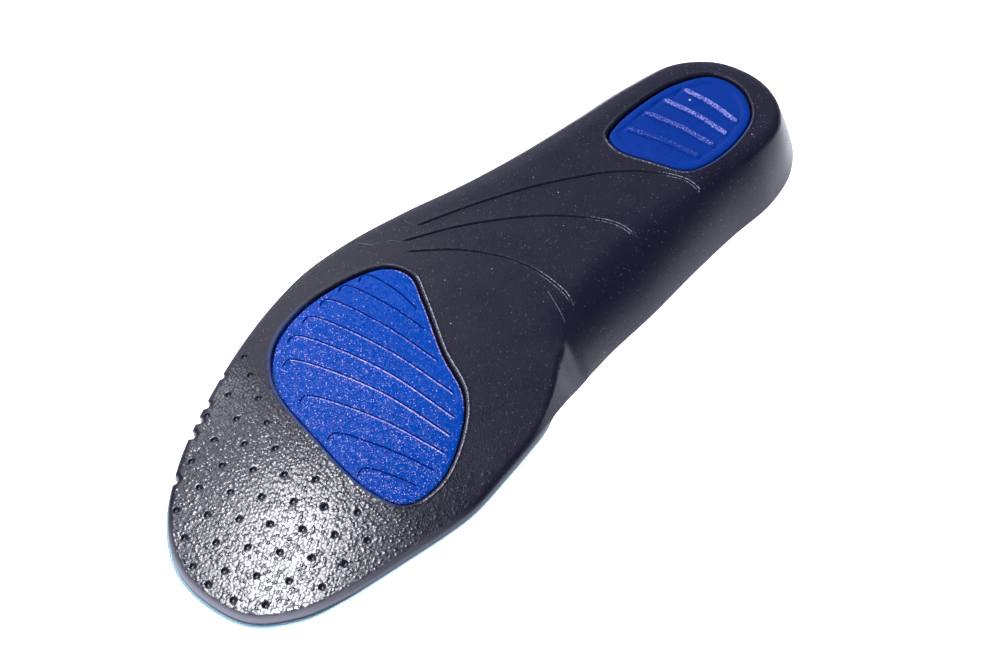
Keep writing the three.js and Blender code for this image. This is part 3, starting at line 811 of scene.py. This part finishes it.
# raw cut foam at the trimmed toe, its lighter colour also a painted sheen
black = blend(tree, cut, black, FOAM_CUT_AND_SHEEN)
film = product(tree, mask_of(tree, "gel_film"), FILM_COVER)
black = blend(tree, film, black, FOAM_FILM)
# painted highlights on the pockets' ridges and on the lips of the flex lines
rubbed = rubbed_off(tree, grains, "rubbed", 0.55, 0.78, 1.0)
black = blend(tree, rubbed, black, FOAM_HIGHLIGHT)
black = blend(tree, product(tree, powder["Mask"], POWDER_COVER), black, powder["Colour"])
tree.links.new(blend(tree, specks["Mask"], black, specks["Colour"]), foam_shader.inputs["Base Color"])
dull = ramp(tree, grains["Tone"], *CLOUDS, *FOAM_ROUGHNESS)
dull = sum_of(tree, dull, product(tree, cut, CUT_ROUGHNESS))
tree.links.new(dull, foam_shader.inputs["Roughness"])
shiny = ramp(tree, mask_of(tree, "pebble"), 0.3, 0.65)
tree.links.new(shiny, foam_shader.inputs["Coat Weight"])
foam_shader.inputs["Coat Roughness"].default_value = 0.2
foam_shader.inputs["Coat IOR"].default_value = 1.55
foam_shader.inputs["Specular IOR Level"].default_value = 0.2

foam_base = foam_skin().object("foam_base_body", foam_material)
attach(foam_base, "root")
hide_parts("foam_base")

# Forefoot gel pad. A pad of soft blue gel under the ball of the foot, cast on its own with nine curved
# louvres in its face and glued into its pocket, level with the foam round it.
PAD_SINK = 0.08
FOREFOOT_PITCH = 0.9
# how far the points of a face keep from rows of points, as a share of their pitch, and from the edge
PAD_ROW_CLEAR = 0.6
PAD_EDGE_CLEAR = 0.3
# section of the pad's edge: inset and depth
PAD_SECTION = [(0.9, 0.02), (0.5, 0.08), (0.2, 0.22), (0.04, 0.45), (0, 0.8)]
# louvres: outer end x, y, inner end x, y, the bow of the middle and the strength of the painted
# highlight on the lip
LOUVRES = [
    (-35.7, -27.2, -11.6, -26, 1.4, 0.2), (-37.7, -34.8, -3.8, -29.9, 1.2, 0.45),
    (-38.2, -42.8, 8.4, -35.6, 1.6, 0.7), (-37.2, -51.3, 20.7, -40.7, 2.2, 0.85),
    (-35.2, -59.8, 27.3, -46.7, 3, 0.95), (-29.2, -67.3, 30.8, -52.2, 3, 1),
    (-14.6, -73.2, 34.2, -57.7, 2, 0.9), (2.4, -76.5, 35.8, -64.2, 1, 0.2),
    (18.5, -78.5, 35.6, -71.8, 0.5, 0.1),
]
# the outer end of a louvre hooks towards the toe: steps from that end
HOOK = [(1.0, -4.0), (0.05, -1.7), (0.95, 0.05)]
HOOK_LENGTH = 4.2
LOUVRE_STEPS = 40
LOUVRE_STEP = 0.45
# lengths over which a groove and a slat run in at the outer end and out at the inner end
GROOVE_RUNS = (1.2, 1.5)
SLAT_STARTS = 0.5
SLAT_ENDS = 4.0
# sections of a louvre, as distance towards the toe and height: its groove and the raised slat beyond
LOUVRE_GROOVE = ((-0.4, -0.18, 0.14, 0.3), (0, -0.75, -0.75, 0))
LOUVRE_SLAT = ((0.05, 0.25, 0.45, 0.7, 1.1, 2.5, 5.5), (0, 0.14, 0.2, 0.18, 0.11, 0.05, 0))
# both lips of a louvre get a painted highlight, the slat's stronger: distance towards the toe and share,
# then the share at the outer and inner ends, where the highlight begins as a share of the hook, and the
# tip without it
LOUVRE_HIGHLIGHT = ((-0.95, -0.7, -0.45, -0.35, 0.2, 0.32, 0.65, 0.9), (0, 0.55, 0.55, 0, 0, 1, 1, 0))
LOUVRE_HIGHLIGHT_ENDS = (0.85, 1)
LOUVRE_HIGHLIGHT_HOOK = 0.6
LOUVRE_HIGHLIGHT_TIP = 1.0
# and so does the rim of the pad on its heel side: distance from the edge and share, the side, how far
# the rim has to face it, and strength
RIM_HIGHLIGHT = ((0.02, 0.2, 0.5, 0.9), (0, 1, 1, 0))
RIM_HIGHLIGHT_SIDE = np.array([0.1, 0.995])
RIM_HIGHLIGHT_FACING = (0.6, 0.9)
RIM_HIGHLIGHT_SHARE = 0.8
# painted glints, as pale specks in the face of the gel, are dense on the toe side and fade towards the
# heel side: a point on the toe side, the way they fade, where they do so, and how many there are at most
# and at least
PAINTED_GLINTS_FROM = np.array([24.0, -83.0])
PAINTED_GLINTS_FADE = np.array([0.14, 0.99])
PAINTED_GLINTS_REACH = (14.0, 42.0)
PAINTED_GLINTS_SHARE = (0.45, 0.03)
LOUVRE_ROWS = (-0.95, -0.7, -0.4, -0.18, 0.14, 0.3, 0.45, 0.65, 0.9, 1.2, 1.7, 2.5, 4, 5.5)


def pad_skin(outline, depth, relief, rows, pitch):
    """A pad that fills its pocket, with a rounded edge and a relief in its face."""
    skin = Skin()
    normal = outward_of(outline)
    loops = [outline - normal * inset for inset, down in PAD_SECTION]
    grid = honeycomb(outline.min(0), outline.max(0), pitch)
    gap, index = nearest(grid, rows)
    loose = np.vstack([rows, grid[gap > pitch * PAD_ROW_CLEAR]])
    loose = loose[inside(loose, loops[0])]
    gap, index = nearest(loose, loops[0])
    loose = loose[gap > PAD_EDGE_CLEAR]
    points, triangles = fill(loops[0], loose=loose)
    face = skin.add(on_sole(points, PAD_SINK + PAD_SECTION[0][1] - relief(points)))
    skin.faces += face[triangles].tolist()
    rings = []
    for loop, (inset, down) in zip(loops[1:], PAD_SECTION[1:]):
        rings.append(on_sole(loop, PAD_SINK + down - relief(loop)))
    rings.append(on_sole(outline, depth))
    last = skin.bands(face[: len(outline)], rings)
    skin.faces += last[fill(outline)[1]][:, ::-1].tolist()
    return skin


louvre_lines = []
for x0, y0, x1, y1, bow, painted_highlight in LOUVRES:
    rows = [(x0 + dx, y0 + dy) for dx, dy in HOOK]
    rows += [((x0 + x1) / 2, (y0 + y1) / 2 + bow), (x1, y1)]
    count = int(np.hypot(x1 - x0, y1 - y0) / LOUVRE_STEP)
    louvre_lines.append(spaced(spline(rows, LOUVRE_STEPS, False), count, False))


def louvre_highlight(xy):
    """How strong the painted highlight is on the lips of the louvres, most towards their inner ends, and
    on the pad's heel-side rim.
    """
    gap, index = nearest(xy, forefoot_outline)
    heelward = smooth(outward_of(forefoot_outline)[index] @ RIM_HIGHLIGHT_SIDE, *RIM_HIGHLIGHT_FACING)
    painted_highlight = RIM_HIGHLIGHT_SHARE * heelward * np.interp(gap, *RIM_HIGHLIGHT)
    for line, louvre in zip(louvre_lines, LOUVRES):
        side, where, length = across(xy, line)
        ends = smooth(where, LOUVRE_HIGHLIGHT_HOOK * HOOK_LENGTH, HOOK_LENGTH)
        ends *= 1 - smooth(where, length - LOUVRE_HIGHLIGHT_TIP, length)
        lip = ends * np.interp(side, *LOUVRE_HIGHLIGHT) * mix(*LOUVRE_HIGHLIGHT_ENDS, where / length)
        painted_highlight = np.maximum(painted_highlight, lip * louvre[5])
    return painted_highlight


def louvre_relief(xy):
    """Height of the louvres above the plain face of the pad."""
    up = np.zeros(len(xy))
    run_in, run_out = GROOVE_RUNS
    for line in louvre_lines:
        side, where, length = across(xy, line)
        groove = smooth(where, 0, run_in) * (1 - smooth(where, length - run_out, length))
        slope = smooth(where, SLAT_STARTS, HOOK_LENGTH) * (1 - smooth(where, length - SLAT_ENDS, length))
        up += groove * np.interp(side, *LOUVRE_GROOVE)
        up += slope * np.interp(side, *LOUVRE_SLAT)
    return up


# colours of the gel: from dark to light, a painted haze of sheen, painted glints, and painted highlights
# on the edges
FOREFOOT_BLUE = ((0.0005, 0.045, 0.315, 1), (0.001, 0.057, 0.38, 1))
GEL_MIST = (0.8, 0.7, 0.95, 1)
GEL_GLINT = (0.66, 0.54, 0.86, 1)
FOREFOOT_HIGHLIGHT = (0.52, 0.45, 0.82, 1)
MIST_COVER = 0.17
# the painted haze has this many more specks than there are painted glints, as a share of places
MIST_MORE = 0.05
FOREFOOT_ROUGHNESS = (0.12, 0.16)


def gel_grain(tree, shader, tilt):
    """Gives a gel its moulded grain, each at its own tilt, and returns the grain's outputs."""
    grains = node(tree, "Group", {"Size": 0.5}, node_tree=grain).outputs
    tilted = node(tree, "Group", {"Size": 0.5, "Tilt": tilt}, node_tree=glints).outputs["Normal"]
    bump = node(tree, "Bump", {"Height": grains["Height"], "Distance": 0.05 * MM, "Normal": tilted})
    tree.links.new(bump.outputs["Normal"], shader.inputs["Normal"])
    return grains


gel_material, tree, gel_shader = surface("forefoot_gel")
specks = specks_of_dust_and_glint(tree, 4.0, 0.15, 0.07)
grains = gel_grain(tree, gel_shader, 0.24)
blue = blend(tree, grains["Tone"], *FOREFOOT_BLUE)
# painted glints and a painted haze of sheen, densest on the toe side
painted_glint_share = mask_of(tree, "painted_glint_share")
pale = specks_of_dust_and_glint(tree, 0.5, painted_glint_share, 0.36)["Mask"]
mist = specks_of_dust_and_glint(tree, 0.4, sum_of(tree, painted_glint_share, MIST_MORE), 0.42)["Mask"]
blue = blend(tree, product(tree, mist, MIST_COVER), blue, GEL_MIST)
blue = blend(tree, pale, blue, GEL_GLINT)
# painted highlights on the lips of the louvres and on the pad's heel-side rim
painted_highlight = rubbed_off(tree, grains, "painted_highlight", 0.5, 0.75, 1.05)
blue = blend(tree, painted_highlight, blue, FOREFOOT_HIGHLIGHT)
tree.links.new(blend(tree, specks["Mask"], blue, specks["Colour"]), gel_shader.inputs["Base Color"])
dull = ramp(tree, grains["Tone"], *CLOUDS, *FOREFOOT_ROUGHNESS)
tree.links.new(dull, gel_shader.inputs["Roughness"])
gel_shader.inputs["Specular IOR Level"].default_value = 0.06
gel_shader.inputs["Specular Tint"].default_value = (1, 0.82, 0.88, 1)

louvre_rows = np.vstack([beside(line, LOUVRE_ROWS) for line in louvre_lines])
forefoot_skin = pad_skin(
    forefoot_outline, FOREFOOT_PAD_DEPTH, louvre_relief, louvre_rows, FOREFOOT_PITCH
)
forefoot_xy = np.vstack(forefoot_skin.points)[:, :2]
forefoot_skin.masks["painted_highlight"] = louvre_highlight(forefoot_xy)
painted_glints_at = (forefoot_xy - PAINTED_GLINTS_FROM) @ PAINTED_GLINTS_FADE
forefoot_skin.masks["painted_glint_share"] = mix(*PAINTED_GLINTS_SHARE, smooth(painted_glints_at, *PAINTED_GLINTS_REACH))
forefoot_pad = forefoot_skin.object("forefoot_gel_body", gel_material)
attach(forefoot_pad, "root")
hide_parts("forefoot_gel_pad")

# Heel gel pad. A thicker pad of the same blue gel under the heel, cast with a raised border and four
# ribs across it, and glued into its pocket. The tops of the ribs are pale with a painted highlight.
HEEL_PITCH = 0.7
# the raised border: width, height above the land inside it, and the step's reach on both sides
HEEL_BORDER = 3.0
HEEL_RECESS = 0.3
HEEL_STEP = (0.5, 0.4)
# ribs: outer end x, y, inner end x, y and the strength of the painted highlight on the top
HEEL_RIBS = [
    (-8, 106.8, 14, 107.4, 0.8), (-10.4, 98.4, 15, 100.6, 0.75), (-11.4, 89.6, 14.8, 93.6, 0.62),
    (-11.6, 79.8, 14.2, 86.4, 0.46),
]
# small pits beside the outer end of each rib: steps from that end, half width and depth
PIT = [(-1.7, -0.4), (-1.9, -2.4), (-1.8, -4.4)]
PIT_HALF_WIDTH = 0.7
PIT_DEPTH = 0.3
PIT_STEPS = 10
PIT_POINTS = 12
RIB_BOW = 0.9
RIB_POINTS = 60
RIB_HEIGHT = 0.35
# section of a rib: distance from its middle and share of its height
RIB_SECTION = ((0, 0.75, 1.0, 1.2), (1, 1, 0.75, 0))
RIB_ROWS = (-1.6, -1.2, -1.0, -0.75, -0.3, 0.3, 0.75, 1.0, 1.2, 1.6)

rib_lines = []
pit_lines = []
for x0, y0, x1, y1, painted_highlight in HEEL_RIBS:
    pit = [(x0 + dx, y0 + dy) for dx, dy in PIT]
    pit_lines.append(spaced(spline(pit, PIT_STEPS, False), PIT_POINTS, False))
    rows = [(x0, y0), ((x0 + x1) / 2, (y0 + y1) / 2 + RIB_BOW), (x1, y1)]
    rib_lines.append(spaced(spline(rows, LINE_STEPS, False), RIB_POINTS, False))


def rib_share(xy):
    """How far up a rib each point lies, 0 on the land and 1 on top, and how strong its painted highlight
    is.
    """
    share = np.zeros(len(xy))
    painted_highlight = np.zeros(len(xy))
    for line, rib in zip(rib_lines, HEEL_RIBS):
        side, where, length = across(xy, line)
        here = np.interp(np.abs(side), *RIB_SECTION)
        painted_highlight = np.where(here > share, here * rib[4], painted_highlight)
        share = np.maximum(share, here)
    return share, painted_highlight


def heel_relief(xy):
    """Height of the land, pits and ribs above the pad's border."""
    gap, index = nearest(xy, heel_outline)
    before, beyond = HEEL_STEP
    land = -HEEL_RECESS * smooth(gap, HEEL_BORDER - before, HEEL_BORDER + beyond)
    for line in pit_lines:
        side, where, length = across(xy, line)
        land -= PIT_DEPTH * np.clip(1 - (side / PIT_HALF_WIDTH) ** 2, 0, 1)
    return land + rib_share(xy)[0] * (RIB_HEIGHT - land)


# colours of the heel's gel: from dark to light, and the painted highlight on the tops of the ribs
HEEL_BLUE = ((0.0005, 0.026, 0.22, 1), (0.001, 0.033, 0.27, 1))
HEEL_HIGHLIGHT = (0.27, 0.27, 0.66, 1)
HEEL_ROUGHNESS = (0.35, 0.45)

heel_material, tree, heel_shader = surface("heel_gel")
specks = specks_of_dust_and_glint(tree, 5.0, 0.15, 0.1)
grains = gel_grain(tree, heel_shader, 0.1)
blue = blend(tree, grains["Tone"], *HEEL_BLUE)
# painted highlights on the tops of the ribs
painted_highlight = rubbed_off(tree, grains, "painted_highlight", 0.5, 0.76, 1.02)
blue = blend(tree, painted_highlight, blue, HEEL_HIGHLIGHT)
tree.links.new(blend(tree, specks["Mask"], blue, specks["Colour"]), heel_shader.inputs["Base Color"])
dull = ramp(tree, grains["Tone"], *CLOUDS, *HEEL_ROUGHNESS)
tree.links.new(dull, heel_shader.inputs["Roughness"])
heel_shader.inputs["Specular IOR Level"].default_value = 0.05

rib_rows = np.vstack([beside(line, RIB_ROWS) for line in rib_lines])
heel_skin = pad_skin(heel_outline, HEEL_PAD_DEPTH, heel_relief, rib_rows, HEEL_PITCH)
heel_skin.masks["painted_highlight"] = rib_share(np.vstack(heel_skin.points)[:, :2])[1]
heel_pad = heel_skin.object("heel_gel_body", heel_material)
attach(heel_pad, "root")
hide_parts("heel_gel_pad")

# Top cover. A thin pale blue knit, laminated to the whole foot side of the foam before the edge is
# trimmed, so that its cut edge shows as a pale line round the toe and along the inner forefoot.
CLOTH = 1.2
GLUE_LINE = 0.08
# the cloth stands out past the foam at the toe: how far, and where that begins and is full
COVER_PROUD = 0.8
COVER_PROUD_FROM = (100, 130)
# the knit: size of a stitch in mm and how unevenly the stitches lie, colours between and on them
STITCH = 0.8
STITCH_STRAY = 0.25
CLOTH_BLUE = ((0.33, 0.57, 0.68, 1), (0.5, 0.74, 0.83, 1))
CLOTH_ROUGHNESS = (0.8, 0.95)


def cover_skin():
    """The cloth: its glued side, its cut edge and its foot side."""
    skin = Skin()
    proud = COVER_PROUD * smooth(-edge_xy[:, 1], *COVER_PROUD_FROM)
    upper = foot_loops(GLUE_LINE, proud)
    lower = foot_loops(GLUE_LINE + CLOTH, proud)
    last = skin.add(upper[-1])
    plan = fill(upper[-1][:, :2])[1]
    skin.faces += last[plan].tolist()
    final = skin.bands(last, upper[-2::-1] + lower)
    skin.faces += final[plan][:, ::-1].tolist()
    return skin


cover_material, tree, cover_shader = surface("cover_cloth")
place = node(tree, "TexCoord").outputs["Object"]
grains = node(tree, "Group", {"Size": 0.3}, node_tree=grain).outputs
turned = node(tree, "Mapping", {"Vector": place, "Rotation": (0, 0, np.pi / 4)}).outputs["Vector"]
knit = {"Vector": turned, "Scale": 1000 / STITCH, "Randomness": STITCH_STRAY}
stitches = node(tree, "TexVoronoi", knit, voronoi_dimensions="2D").outputs["Distance"]
stitch = ramp(tree, stitches, 0.6, 0.1)
height = sum_of(tree, stitch, product(tree, grains["Height"], 0.5))
bump = node(tree, "Bump", {"Height": height, "Distance": 0.15 * MM})
tree.links.new(bump.outputs["Normal"], cover_shader.inputs["Normal"])
pale = blend(tree, stitch, *CLOTH_BLUE)
tree.links.new(pale, cover_shader.inputs["Base Color"])
dull = ramp(tree, grains["Tone"], *CLOUDS, *CLOTH_ROUGHNESS)
tree.links.new(dull, cover_shader.inputs["Roughness"])
cover_shader.inputs["Sheen Weight"].default_value = 0.3

top_cover = cover_skin().object("top_cover_cloth", cover_material)
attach(top_cover, "root")
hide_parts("top_cover")

# Stage. A plain pale floor that is lit to white, a dim room with a bright horizon, and soft lamps. The
# lamps that are mirrored make the glare on the toe, the arch wall and the heel. The camera has the
# photo's angle.
FLOOR = 4.0
FLOOR_CORNERS = [(-FLOOR, -FLOOR, 0), (FLOOR, -FLOOR, 0), (FLOOR, FLOOR, 0), (-FLOOR, FLOOR, 0)]
# colours of the room overhead and at the horizon, and the height at which they pass into each other
ROOM = ((0.06, 0.065, 0.09, 1), (1.25, 1.27, 1.5, 1))
HORIZON = (0.6, 0.05)
floor_mesh = bpy.data.meshes.new("floor")
floor_mesh.from_pydata(FLOOR_CORNERS, [], [(0, 1, 2, 3)])
floor = bpy.data.objects.new("floor", floor_mesh)
bpy.context.scene.collection.objects.link(floor)
floor_material, tree, floor_shader = surface("floor")
floor_shader.inputs["Base Color"].default_value = (0.8, 0.8, 0.8, 1)
floor_shader.inputs["Roughness"].default_value = 0.9
floor_shader.inputs["Emission Color"].default_value = (0.9, 0.92, 1.05, 1)
floor_shader.inputs["Emission Strength"].default_value = 1.4
floor_mesh.materials.append(floor_material)

world = bpy.data.worlds.new("studio")
world.use_nodes = True
sky = world.node_tree
upwards = node(sky, "SeparateXYZ", {0: node(sky, "TexCoord").outputs["Generated"]}).outputs["Z"]
glow = blend(sky, ramp(sky, upwards, *HORIZON), *ROOM)
sky.links.new(glow, sky.nodes["Background"].inputs["Color"])
bpy.context.scene.world = world

# lamps: name, direction from the forefoot, distance, width, height, power and whether it is mirrored
LAMPS = [
    ("softbox", (-0.66, 0.52, 0.54), 1.1, 0.5, 0.5, 4.5, False),
    ("side_glow", (-0.78, 0.25, 0.58), 1.2, 0.72, 0.72, 6.4, True),
    ("back_glow", (-0.334, 0.719, 0.61), 1.38, 0.45, 0.45, 0.75, True),
    ("front_glow", (-0.15, -0.78, 0.6), 1.2, 1.2, 0.9, 7, True),
    ("sparkle", (-0.333, -0.028, 0.94), 1.0, 0.3, 0.18, 5.9, True),
]
LAMP_COLOUR = (0.93, 0.95, 1)
FOREFOOT = Vector((0, -0.09, 0.01))
for name, towards, distance, wide, tall, power, mirrored in LAMPS:
    light = bpy.data.lights.new(name, "AREA")
    light.shape = "RECTANGLE"
    light.size = wide
    light.size_y = tall
    light.energy = power
    light.color = LAMP_COLOUR
    lamp = bpy.data.objects.new(name, light)
    lamp.location = FOREFOOT + Vector(towards).normalized() * distance
    lamp.visible_glossy = mirrored
    lamp.rotation_mode = "QUATERNION"
    lamp.rotation_quaternion = (-Vector(towards)).to_track_quat("-Z", "Y")
    bpy.context.scene.collection.objects.link(lamp)

CAMERA_PLACE = (0.2292, -0.2360, 0.4400)
CAMERA_AIM = Vector((-0.4083, 0.4228, -0.8090))
camera = bpy.data.objects.new("camera", bpy.data.cameras.new("camera"))
camera.data.lens = 57.6
camera.data.sensor_width = 36
camera.data.sensor_fit = "HORIZONTAL"
camera.data.clip_start = 0.01
camera.location = CAMERA_PLACE
camera.rotation_mode = "QUATERNION"
camera.rotation_quaternion = CAMERA_AIM.to_track_quat("-Z", "Y")
bpy.context.scene.collection.objects.link(camera)
bpy.context.scene.camera = camera
bpy.context.scene.view_settings.view_transform = "Standard"
